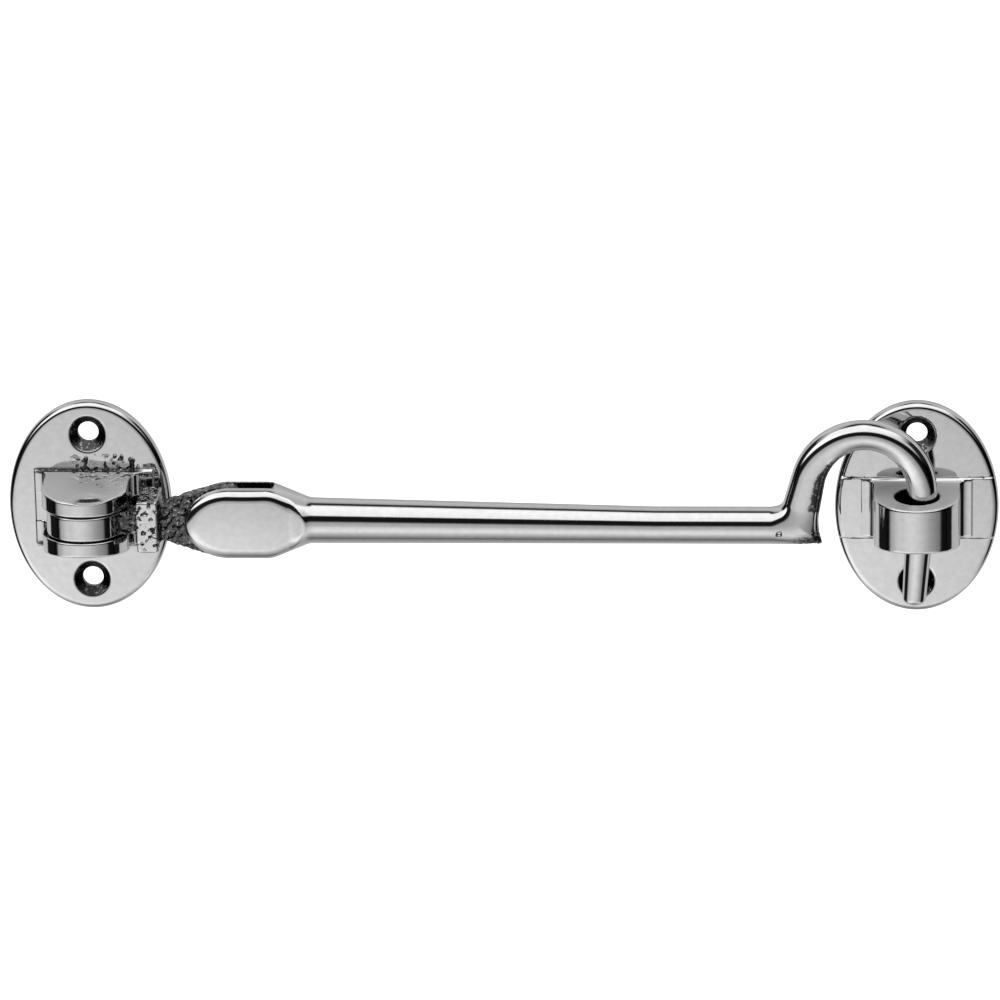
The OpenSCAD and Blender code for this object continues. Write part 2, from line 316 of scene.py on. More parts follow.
def screw_holes(u, v, w):
    """Both screw holes, with countersinks of 90 degrees that start on the domed face."""
    r = np.hypot(u, np.abs(v) - SCREW_SPACING / 2)
    face = PLATE_T - (SCREW_SPACING / 2) ** 2 / (2 * DOME_R_UP)
    depth = face - np.minimum(w, face + 1)
    sink = (r - SINK_R + depth) * math.sqrt(0.5)
    return np.minimum(r - SCREW_R, sink)


def lug_wedge(v, w, root_h, front_h):
    """The lug's upper and lower faces, which draw together toward its front."""
    drop = (root_h - front_h) / 2 / (LUG_FRONT - PLATE_T)
    return (np.abs(v) - root_h / 2 + drop * (w - PLATE_T)) / math.hypot(1, drop)


def lug(u, v, w, root_h, front_h, right_root=ROOT_R):
    """A lug with a full round nose and filleted flanks."""
    root = np.where(u > 0, right_root, ROOT_R)
    nose = LUG_FRONT - LUG_HALF
    plan = np.hypot(u, np.maximum(w - nose, 0)) - LUG_HALF
    plan = round_or(plan, w - PLATE_T, root)
    solid = round_and(plan, lug_wedge(v, w, root_h, front_h), EDGE_R)
    beyond = np.abs(u) - LUG_HALF - root - LUG_MARGIN
    return np.maximum(solid, np.maximum(beyond, PLATE_T / 3 - w))


def lug_satin_and_sheen(u, v, w, root_h, front_h):
    """Upper and lower faces of a lug, which the polishing wheel hardly reached; paler in colour as a painted
    sheen.
    """
    return smooth(*SATIN_SKIN, lug_wedge(v, w, root_h, front_h)) * smooth(*SATIN_RISE, w - PLATE_T)


corner_waves = waves(seed=5, shortest=0.8, longest=2.2)
ear_waves = waves(seed=8, shortest=0.5, longest=1.2)


def hook_plate_pits(u, v, w):
    """Depth of the casting's pits: a patch above the upper ear, and a few on the ear itself."""
    patch = window(u, *PATCH_U) * window(v, *PATCH_V) * smooth(*PATCH_W, w)
    few = window(u, *EAR_PITS_U) * smooth(*EAR_PITS_V, v) * window(w, *EAR_PITS_W)
    deep = PATCH_DEPTH * patch * smooth(*PATCH_LEVELS, corner_waves(u, v, w))
    return deep + EAR_PITS_DEPTH * few * smooth(*EAR_PITS_LEVELS, ear_waves(u, v, w))


def hook_plate_field(u, v, w):
    """The hook plate: oval plate, two ears with a gap for the barrel, pits and screw holes."""
    plate = oval_plate(u, v, w, PLATE_T)
    ears = lug(u, v, w, EAR_ROOT_H, EAR_FRONT_H, EAR_ROOT_R)
    gap = np.maximum(np.abs(v) - EAR_SLOT / 2, PLATE_T - w)
    ears = round_and(ears, -gap, EAR_SLOT_EDGE_R)
    # A shallow dish worn into the front of the upper ear.
    dish_v = EAR_FRONT_H / 2 + DISH_R - DISH_DEPTH
    dish = np.sqrt((u - DISH_U) ** 2 + (v - dish_v) ** 2 + (w - LUG_FRONT - DISH_OUT) ** 2) - DISH_R
    ears = round_and(ears, -dish, DISH_EDGE_R)
    solid = round_or(plate, ears, EAR_FILLET_R) + hook_plate_pits(u, v, w)
    return round_and(solid, -screw_holes(u, v, w), SINK_EDGE_R)


def sink_painted_shade(u, v, w):
    """Countersinks: unpolished, and painted dark as shade in their recess."""
    r = np.hypot(u, np.abs(v) - SCREW_SPACING / 2)
    return smooth(*SINK_SHADE, r)


def corner_painted_shade(u, v, w, root_h, front_h):
    """A dark line painted as shade in the corner above and below a lug."""
    wedge = lug_wedge(v, w, root_h, front_h)
    near = np.hypot(np.maximum(w - PLATE_T, 0), wedge)
    return smooth(*CORNER_NEAR, near) * smooth(*CORNER_ENDS, np.abs(u)) * smooth(*CORNER_RISE, w)


# Real pits, with a dark line in the lug's corners and dark countersinks painted as shade.
def hook_plate_bare_and_shade(u, v, w):
    pits = smooth(*PITS_SKIN, hook_plate_pits(u, v, w))
    line = corner_painted_shade(u, v, w, EAR_ROOT_H, EAR_FRONT_H)
    return np.maximum(np.maximum(pits, line), sink_painted_shade(u, v, w))


def hook_plate_satin_and_sheen(u, v, w):
    return lug_satin_and_sheen(u, v, w, EAR_ROOT_H, EAR_FRONT_H)


def eye_plate_field(u, v, w):
    """The eye plate: oval plate with a low band across it, and the lug with its bore."""
    u = u - EYE_U
    past_band = np.abs(v) - EYE_ROOT_H / 2 - BAND_LIP
    face = PLATE_T + BAND_RISE * smooth(BAND_SLOPE, -BAND_SLOPE, past_band)
    plate = oval_plate(u, v, w, face)
    solid = round_or(plate, lug(u, v, w, EYE_ROOT_H, EYE_FRONT_H), EYE_FILLET_R)
    solid = round_and(solid, -screw_holes(u, v, w), SINK_EDGE_R)
    bore = np.hypot(u, w - AXIS_W) - EYE_BORE_R
    return round_and(solid, -bore, EYE_BORE_EDGE_R)


# Countersinks painted dark as shade, and the inside of the bore made darker.
def eye_plate_darkening(u, v, w):
    bore = np.hypot(u - EYE_U, w - AXIS_W) - EYE_BORE_R
    return np.maximum(sink_painted_shade(u - EYE_U, v, w), smooth(*EYE_BORE_DARK, bore))


def eye_plate_satin_and_sheen(u, v, w):
    return lug_satin_and_sheen(u - EYE_U, v, w, EYE_ROOT_H, EYE_FRONT_H)


def box(u, v, w, half_u, half_v, half_w, r):
    """A block about the origin, its edges rounded to radius r."""
    du, dv, dw = np.abs(u) - half_u + r, np.abs(v) - half_v + r, np.abs(w) - half_w + r
    outside = np.sqrt(np.maximum(du, 0) ** 2 + np.maximum(dv, 0) ** 2 + np.maximum(dw, 0) ** 2)
    return outside + np.minimum(np.maximum(np.maximum(du, dv), dw), 0) - r


casting = waves(seed=23, shortest=0.8, longest=2.0)
bar_waves = waves(seed=17, shortest=0.7, longest=1.6)


def bar_front(u, v, w):
    """1 on the crossbar's front and top, which are polished."""
    face = smooth(*BAR_FACE, w - AXIS_W)
    return window(u, *BAR_ACROSS) * np.maximum(face, BAR_TOP_SHARE * smooth(*BAR_TOP, v))


def bar_pits(u, v, w):
    return BAR_PITS_DEPTH * bar_front(u, v, w) * smooth(*BAR_PITS_LEVELS, bar_waves(u, v, w))


def knuckle_bare_and_shade(u, v, w):
    """Rough unpolished casting from the barrel outward, apart from the crossbar's front, plus the crossbar's
    pits; its dark colour is partly painted shade.
    """
    rough = smooth(*CASTING_START, u) * (1 - bar_front(u, v, w))
    return np.maximum(CASTING_SKIN_AND_SHADE * rough, smooth(*BAR_PITS_SKIN, bar_pits(u, v, w)))


def knuckle_field(u, v, w):
    """The knuckle: bored barrel, web, crossbar and tang, rough where the casting is unpolished."""
    roughness = knuckle_bare_and_shade(u, v, w) * (CASTING_WAVE * casting(u, v, w) + CASTING_SUNK)
    roughness = roughness + bar_pits(u, v, w)
    w = w - AXIS_W
    barrel = round_and(np.hypot(u, w) - BARREL_R, np.abs(v) - BARREL_H / 2, BARREL_EDGE_R)
    web = box(u - BAR_U / 2, v, w, BAR_U / 2 + WEB_LAP, BARREL_H / 2, WEB_T / 2, WEB_EDGE_R)
    bar = box(u - BAR_U - BAR_T / 2, v, w, BAR_T / 2, BAR_H / 2, BAR_W / 2, BAR_EDGE_R)
    half = np.interp(u, [BAR_U + BAR_T, RIVET_U - NECK_BACK], [NECK_H / 2, TANG_R - NECK_EASE])
    ends = np.maximum(BAR_U + NECK_LAP - u, u - RIVET_U + NECK_LAP)
    neck = np.maximum(np.abs(v) - half, ends)
    tang = np.minimum(np.hypot(u - RIVET_U, v) - TANG_R, neck)
    tang = round_and(tang, np.abs(w) - TANG_T / 2, TANG_EDGE_R)
    inner = round_or(barrel, web, WEB_FILLET_R)
    outer = round_or(bar, tang, TANG_FILLET_R)
    solid = round_or(inner, outer, BAR_FILLET_R)
    bore = np.hypot(u, w) - PIN_R - BORE_CLEARANCE
    return round_and(solid, -bore, BORE_EDGE_R) + roughness


def pin_field(u, v, w):
    """The pivot pin, its ends dressed with the ears' sloping faces."""
    rod = np.hypot(u, w - AXIS_W) - PIN_R
    return round_and(rod, lug_wedge(v, w, EAR_ROOT_H, EAR_FRONT_H) - PIN_PROUD, PIN_EDGE_R)


def rivet_field(u, v, w):
    """The lift rivet, its ends just below the head's flats."""
    rod = np.hypot(u - RIVET_U, v) - RIVET_R
    return round_and(rod, np.abs(w - AXIS_W) - HEAD_T / 2 + RIVET_SUNK, RIVET_EDGE_R)


# The arm: a turned head, and a rod swept along shank, elbow, leg, bow and tip.

SHANK_LAP = 2
SHANK_U = CONE_END_U - SHANK_LAP
SHANK_V = ELBOW_R - SHANK_R
BOW_U = EYE_U + EYE_BORE_R - BOW_ROD - SEAT_GAP - BOW_R
BEND_R = ELBOW_FILLET + LEG_R
BEND_TURN = math.pi / 2 - LEG_LEAN
BEND_V = SHANK_V + BEND_R
LEG_TOP = np.array([BOW_U - BOW_R * math.cos(LEG_LEAN), BOW_V + BOW_R * math.sin(LEG_LEAN)])
LEG_FOOT_V = BEND_V - BEND_R * math.cos(BEND_TURN)
LEG_FOOT_U = LEG_TOP[0] - (LEG_TOP[1] - LEG_FOOT_V) * math.tan(LEG_LEAN)
BEND_U = LEG_FOOT_U - BEND_R * math.sin(BEND_TURN)
HEEL_V = -SHANK_R
HEEL_U = LEG_FOOT_U + LEG_R * math.cos(LEG_LEAN) + HEEL_OUT
LEG_LEN = (LEG_TOP[1] - LEG_FOOT_V) / math.cos(LEG_LEAN)
HEEL_LEAN = LEG_LEAN - math.atan((LEG_R + HEEL_SWELL - BOW_ROD - LEG_SWELL) / LEG_LEN)
HEEL_FROM_U = LEG_FOOT_U + (LEG_R + HEEL_SWELL) * math.cos(LEG_LEAN)
HEEL_FROM_V = LEG_FOOT_V - (LEG_R + HEEL_SWELL) * math.sin(LEG_LEAN)
HEEL_CHORD = (HEEL_U - HEEL_FROM_U, HEEL_V - HEEL_FROM_V)
HEEL_FALL = HEEL_CHORD[0] * math.cos(HEEL_LEAN) - HEEL_CHORD[1] * math.sin(HEEL_LEAN)
HEEL_R = (HEEL_CHORD[0] ** 2 + HEEL_CHORD[1] ** 2) / 2 / HEEL_FALL
HEEL_CU = HEEL_FROM_U + HEEL_R * math.cos(HEEL_LEAN) - BEND_U
HEEL_CV = HEEL_FROM_V - HEEL_R * math.sin(HEEL_LEAN) - BEND_V
TIP_TOP = np.array([BOW_U + BOW_R * math.cos(TIP_LEAN), BOW_V - BOW_R * math.sin(TIP_LEAN)])
TIP_LEN = (TIP_TOP[1] - TIP_V - TIP_ROUND * TIP_R) / math.cos(TIP_LEAN)
TIP_END = TIP_TOP - TIP_LEN * np.array([math.sin(TIP_LEAN), math.cos(TIP_LEAN)])
# Squareness of a section: the power of its superellipse.
FLAT = 2.4
ROUND = 2.0
# How sharply the shank's hidden start closes inside the head.
HIDDEN_END = 30
# Distance given to what lies beyond an arc's ends.
FAR_OFF = 99.0
# Angle round the elbow past which the sole's reach no longer grows.
STEEPEST_SOLE = 1.2
# Shares of the bow over which the leg's swelling and squareness run out.
SWELL_END = 0.5
FLAT_END = 0.25
# Places of these parts in the list of the centre line's parts.
SHANK_PART, LEG_PART, BOW_PART, TIP_PART = 0, 3, 4, 5


def along_line(u, v, start, end):
    """Distance off a line, share of its length and signed offset to its right."""
    way = np.array(end) - np.array(start)
    length = np.hypot(*way)
    way = way / length
    du, dv = u - start[0], v - start[1]
    share = (du * way[0] + dv * way[1]) / length
    over = (share - np.clip(share, 0, 1)) * length
    side = du * way[1] - dv * way[0]
    return np.hypot(side, over), share, side


def sweep_parts(u, v):
    """For each part of the centre line: distance to it, then the section there.

    A section is the signed offset, the reach to the left and right, the depth, the squareness, and
    the share of the part's length.
    """
    parts = []
    off, t, q = along_line(u, v, (SHANK_U, 0), (TAPER_U, SHANK_V))
    r = SHANK_R + (ELBOW_R - SHANK_R) * np.clip(t, 0, 1)
    parts.append((off, q, r, r, r, ROUND, t))

    off, t, q = along_line(u, v, (TAPER_U, SHANK_V), (BEND_U, SHANK_V))
    r = np.full_like(q, ELBOW_R)
    parts.append((off, q, r, r, r, ROUND, t))

    a = np.arctan2(u - BEND_U, BEND_V - v)
    far = np.hypot(u - BEND_U, BEND_V - v)
    inside = (a >= 0) & (a <= BEND_TURN)
    off = np.where(inside, np.abs(far - BEND_R), FAR_OFF)
    a = np.clip(a, 0, BEND_TURN)
    ease = smooth(0, BEND_TURN, a)
    sole = (BEND_V - HEEL_V) / np.cos(np.minimum(a, STEEPEST_SOLE))
    toward = HEEL_CU * np.sin(a) - HEEL_CV * np.cos(a)
    root = toward ** 2 - HEEL_CU ** 2 - HEEL_CV ** 2 + HEEL_R ** 2
    back = np.where(root > 0, toward - np.sqrt(np.maximum(root, 0)), FAR_OFF)
    blend = np.clip(0.5 + 0.5 * (back - sole) / HEEL_ROUND, 0, 1)
    reach = back + (sole - back) * blend - HEEL_ROUND * blend * (1 - blend)
    parts.append((off, far - BEND_R, ELBOW_R + (LEG_R - ELBOW_R) * ease, reach - BEND_R,
                  ELBOW_R + (BOW_ROD - ELBOW_R) * ease,
                  ROUND + (FLAT - ROUND) * smooth(0, BEND_TURN / 2, a), a / BEND_TURN))

    off, t, q = along_line(u, v, (LEG_FOOT_U, LEG_FOOT_V), LEG_TOP)
    r = LEG_R + (BOW_ROD - LEG_R) * np.clip(t, 0, 1)
    swell = HEEL_SWELL + (LEG_SWELL - HEEL_SWELL) * np.clip(t, 0, 1)
    parts.append((off, q, r, r + swell, np.full_like(q, BOW_ROD), FLAT, t))

    b = np.arctan2(v - BOW_V, u - BOW_U)
    b = np.where(b < -math.pi / 2, b + 2 * math.pi, b)
    far = np.hypot(u - BOW_U, v - BOW_V)
    inside = (b <= math.pi - LEG_LEAN) & (b >= -TIP_LEAN)
    off = np.where(inside, np.abs(far - BOW_R), FAR_OFF)
    t = np.clip((math.pi - LEG_LEAN - b) / (math.pi - LEG_LEAN + TIP_LEAN), 0, 1)
    ease = smooth(0, SWELL_END, t)
    r = np.full_like(far, BOW_ROD)
    square = FLAT + (ROUND - FLAT) * smooth(0, FLAT_END, t)
    parts.append((off, BOW_R - far, r, r + LEG_SWELL * (1 - ease), r, square, t))

    off, t, q = along_line(u, v, TIP_TOP, TIP_END)
    r = BOW_ROD + (TIP_R - BOW_ROD) * np.clip(t, 0, 1)
    parts.append((off, q, r, r, r, ROUND, t))
    return parts


def section(u, v):
    """The part of the centre line nearest to each point, and the rod's section there."""
    parts = sweep_parts(u, v)
    nearest = np.argmin(np.stack([part[0] for part in parts]), axis=0)
    picked = [np.choose(nearest, [np.broadcast_to(part[k], u.shape) for part in parts]) for k in range(1, 7)]
    return nearest, *picked


def rod_field(u, v, w):
    """The swept rod, with a rounded tip."""
    nearest, offset, left, right, depth, square, along = section(u, v)
    reach = np.where(offset > 0, right, left)
    share = np.abs(offset / reach) ** square + np.abs(w / depth) ** square
    level = np.maximum(share, 1e-9) ** (1 / square)
    end = np.maximum(along - 1, 0) * TIP_LEN / (TIP_R * TIP_ROUND)
    level = np.where(nearest == TIP_PART, np.hypot(level, end), level)
    start = np.maximum(-along, 0) * HIDDEN_END
    level = np.where(nearest == SHANK_PART, np.hypot(level, start), level)
    return (level - 1) * np.minimum(reach, depth)


def head_field(u, v, w):
    """The turned head: bullet end, straight crown and taper."""
    turned = np.hypot(v, w)
    bullet = np.hypot(u - END_U, turned - HEAD_R + END_R) - END_R
    cone = (turned - HEAD_R + CONE_SLOPE * (u - CONE_U)) / math.hypot(1, CONE_SLOPE)
    crown = soft_max(turned - HEAD_R, cone, CONE_BLEND)
    body = np.where(u < END_U, bullet, crown)
    body = round_and(body, HEAD_END_U - u, END_EDGE_R)
    return np.maximum(body, u - CONE_END_U - HEAD_LAP)


heel_waves = waves(seed=31, shortest=0.5, longest=1.3)


def heel_bare(u, v, w):
    """Bare casting at the heel's lower corner."""
    back = (u - HEEL_U + HEEL_SKIN_BACK) / HEEL_SKIN_LONG
    return smooth(*HEEL_SKIN, np.hypot(back, (v - HEEL_V) / HEEL_SKIN_HIGH))


def crook_painted_reflection(u, v, w):
    """Inner side of leg and bow, which the wheel doesn't reach: rougher, and painted dark as a reflection."""
    nearest, offset, _, right, _, _, along = section(u, v)
    share = offset / right + CROOK_WAVE * heel_waves(u, v, w)
    edge = CROOK_EDGE * np.where(nearest == LEG_PART, 1, 1 + smooth(*CROOK_NARROWS, along))
    inner = smooth(edge, edge + CROOK_WIDTH, share)
    return inner * ((nearest == LEG_PART) + (nearest == BOW_PART) * smooth(*CROOK_END, along))


def arm_bare_and_shade(u, v, w):
    """Unpolished casting inside the fork and at the heel, and a painted dark reflection inside the crook."""
    fork = smooth(*FORK_SKIN, np.abs(w - AXIS_W)) * smooth(*FORK_END, u)
    return np.maximum(fork, np.maximum(heel_bare(u, v, w), crook_painted_reflection(u, v, w)))


def arm_field(u, v, w):
    """The arm: head and rod in one, with the head's flats and slot, the rough heel and one dent."""
    roughness = heel_bare(u, v, w) * (HEEL_WAVE * heel_waves(u, v, w) + HEEL_SUNK)
    dent = np.sqrt((u - HEEL_U + DENT_BACK) ** 2 + (v - DENT_V) ** 2 + (w - AXIS_W - DENT_W) ** 2) - DENT_R
    w = w - AXIS_W
    solid = -soft_max(-head_field(u, v, w), -rod_field(u, v, w), HOLLOW_BLEND)
    # The flats are slightly domed by polishing, and run out where the head meets the shank.
    fade = smooth(*FLATS_FADE, u)
    middle = (HEAD_END_U + CONE_END_U) / 2
    dome = np.where(u < CONE_END_U, ((u - middle) ** 2 + v ** 2) / (2 * HEAD_DOME_R), 0) * (1 - fade)
    edge = HEAD_EDGE_R * (1 - fade) + FLATS_LEAST_R
    flats = np.abs(w) - HEAD_T / 2 - FLATS_EASE * fade + dome
    solid = np.where(u < CONE_END_U + FLATS_REACH, round_and(solid, flats, edge), solid)
    slot = round_and(np.abs(w) - SLOT_T / 2, u - SLOT_U, SLOT_END_R)
    solid = round_and(solid, -slot, SLOT_EDGE_R)
    return round_and(solid + roughness, -dent, DENT_EDGE_R)


# Meshing. Lengths are in millimetres, and the fill depth is a share of a cell.

CELL = 0.28
FINE_CELL = 0.2
LEAST_SLOPE = 0.2
LONGEST_MOVE = 0.25
FILL_ROUNDS = 40
FILL_DEPTH = 0.02
SLAB = 40


def gradient(field, points, h=0.01):
    """The field's slope at each point, by differences over a small step h."""
    slopes = []
    for axis in range(3):
        ahead, behind = points.copy(), points.copy()
        ahead[:, axis] += h
        behind[:, axis] -= h
        slopes.append((field(*ahead.T) - field(*behind.T)) / (2 * h))
    return np.stack(slopes, axis=1)


def settle(field, points, rounds):
    """Moves points onto the surface along the field's slope, a short way at most."""
    for _ in range(rounds):
        slope = gradient(field, points)
        size = np.maximum((slope ** 2).sum(1), LEAST_SLOPE ** 2)
        move = slope * (field(*points.T) / size)[:, None]
        length = np.linalg.norm(move, axis=1, keepdims=True)
        points = points - move * np.minimum(1, LONGEST_MOVE / np.maximum(length, 1e-9))
    return points


def fill_diagonals(values, level):
    """Fills a grid point where solid meets solid only across a diagonal, so no edge is pinched."""
    step = np.eye(3, dtype=int)
    for _ in range(FILL_ROUNDS):
        changed = False
        for one, two in ((0, 1), (0, 2), (1, 2)):
            a = values < 0
            b = np.roll(a, -1, one)
            c = np.roll(a, -1, two)
            crossed = (a == np.roll(b, -1, two)) & (b == c) & (a != b)
            fill = np.concatenate([np.argwhere(crossed & a) + step[one], np.argwhere(crossed & ~a)])
            values[tuple(fill.T)] = level
            changed = changed or len(fill) > 0
        if not changed:
            break


def surface_net(field, low, high, cell):
    """Quads on the zero level of a field, one vertex in each grid cell that it crosses."""
    axes = [np.arange(a - 2 * cell, b + 3 * cell, cell) for a, b in zip(low, high)]
    shape = tuple(len(axis) for axis in axes)
    values = np.empty(shape)
    for i in range(0, shape[0], SLAB):
        grid = np.meshgrid(axes[0][i:i + SLAB], axes[1], axes[2], indexing="ij")
        values[i:i + SLAB] = field(*[g.ravel() for g in grid]).reshape(grid[0].shape)
    fill_diagonals(values, -FILL_DEPTH * cell)
    inside = values < 0
    corners = [(i, j, k) for i in (0, 1) for j in (0, 1) for k in (0, 1)]

    def corner(array, c):
        return array[c[0]:shape[0] - 1 + c[0], c[1]:shape[1] - 1 + c[1], c[2]:shape[2] - 1 + c[2]]

    count = sum(corner(inside, c).astype(np.int8) for c in corners)
    cells = np.argwhere((count > 0) & (count < 8))
    number = np.full(tuple(n - 1 for n in shape), -1)
    number[tuple(cells.T)] = np.arange(len(cells))
    total = np.zeros((len(cells), 3))
    crossings = np.zeros(len(cells))
    for c in corners:
        for axis in range(3):
            if c[axis]:
                continue
            far = tuple(c[k] + (k == axis) for k in range(3))
            a = values[tuple((cells + c).T)]
            b = values[tuple((cells + far).T)]
            hit = (a < 0) != (b < 0)
            place = np.tile(np.array(c, float), (len(cells), 1))
            place[:, axis] = a / np.where(hit, a - b, 1)
            total[hit] += place[hit]
            crossings[hit] += 1
    points = (cells + total / crossings[:, None]) * cell + np.array([axis[0] for axis in axes])
    quads = []
    for axis in range(3):
        one, two = (axis + 1) % 3, (axis + 2) % 3
        step = np.eye(3, dtype=int)
        a = inside
        b = np.roll(inside, -1, axis)
        edge = np.argwhere(a != b)
        edge = edge[(edge[:, axis] < shape[axis] - 1) & (edge[:, one] > 0) & (edge[:, two] > 0)]
        ring = [edge, edge - step[one], edge - step[one] - step[two], edge - step[two]]
        quad = np.stack([number[tuple(r.T)] for r in ring], axis=1)
        outward = a[tuple(edge.T)]
        quad[~outward] = quad[~outward][:, ::-1]
        quads.append(quad)
    return points, np.concatenate(quads)


def even_out(points, quads):
    """Each point moves halfway to the middle of its neighbours."""
    total = np.zeros_like(points)
    count = np.zeros(len(points))
    for k in range(4):
        a, b = quads[:, k], quads[:, (k + 1) % 4]
        np.add.at(total, a, points[b])
        np.add.at(total, b, points[a])
        np.add.at(count, a, 1)
        np.add.at(count, b, 1)
    return points + 0.5 * (total / count[:, None] - points)


def main_part(points, quads):
    """Keeps the largest part joined by edges, so that no loose specks of a rough surface are left."""
    ends = np.sort(np.stack([quads, np.roll(quads, -1, 1)], axis=2), axis=2)
    keys = ends[..., 0] * len(points) + ends[..., 1]
    edges = np.unique(keys, return_inverse=True)[1].reshape(keys.shape)
    label = np.arange(len(quads))
    while True:
        lowest = np.full(edges.max() + 1, len(quads))
        for k in range(4):
            np.minimum.at(lowest, edges[:, k], label)
        joined = lowest[edges].min(1)
        joined = joined[joined]
        if (joined == label).all():
            break
        label = joined
    kept = quads[label == np.bincount(label).argmax()]
    used = np.zeros(len(points), bool)
    used[kept] = True
    return points[used], (np.cumsum(used) - 1)[kept]


def casting_piece(name, field, low, high, cell, finish, body, node, bare_and_shade=None, satin_and_sheen=None):
    """Meshes a field, marks its dark skin (unpolished casting, painted shade) and its less polished faces
    (painted sheen), and puts the piece on its body.
    """
    points, quads = main_part(*surface_net(field, low, high, cell))
    points = settle(field, points, 2)
    for _ in range(2):
        points = settle(field, even_out(points, quads), 2)
    normals = gradient(field, points)
    normals /= np.linalg.norm(normals, axis=1, keepdims=True)
    mesh = bpy.data.meshes.new(name)
    use = np.stack([points[:, 0], -points[:, 2], points[:, 1]], axis=1) * MM
    mesh.from_pydata(use.tolist(), [], quads.tolist())
    mesh.polygons.foreach_set("use_smooth", [True] * len(quads))
    for mark, share in (("bare_casting_and_shade", bare_and_shade), ("satin_finish_and_sheen", satin_and_sheen)):
        amount = share(*points.T) if share else np.zeros(len(points))
        mesh.attributes.new(mark, "FLOAT", "POINT").data.foreach_set("value", amount.astype(np.float32))
    turned = np.stack([normals[:, 0], -normals[:, 2], normals[:, 1]], axis=1)
    mesh.normals_split_custom_set_from_vertices(turned.tolist())
    slot, material = finish
    mesh.materials.append(material)
    piece = bpy.data.objects.new(name, mesh)
    bpy.context.scene.collection.objects.link(piece)
    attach(piece, body)
    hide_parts(node)


# Materials. A noise is its scale and detail. Mottle, sheen and skin are shares of the material's own
# colour, polish of its roughness, and speckle of the skin's cover. The sheen is painted; the dark skin
# is partly painted shade and reflection.

CHROME = (0.63, 0.63, 0.635)
CHROME_ROUGH = 0.06
RIVET_STEEL = (0.6, 0.6, 0.605)
RIVET_ROUGH = 0.1
MOTTLE_NOISE = (900, 4)
MOTTLE_SHARES = (0.95, 1.05)
PAINTED_SHEEN_SHARE = 1.3
SKIN_AND_SHADE_SHARE = 0.1
SPECKLE_NOISE = (1900, 2)
SPECKLE_SHARES = (1.0, 0.45)
SPECKLE_RANGE = (0.56, 0.68)
POLISH_NOISE = (1400, 6)
POLISH_SHARES = (0.6, 1.5)
BARE_ROUGH = 0.14
SATIN_ROUGH = 0.46
BUMP_NOISE = (1100, 3)
BUMP_HEIGHT = 0.00006
BUMP_BARE, BUMP_SATIN, BUMP_POLISH = 0.6, 0.25, 0.05


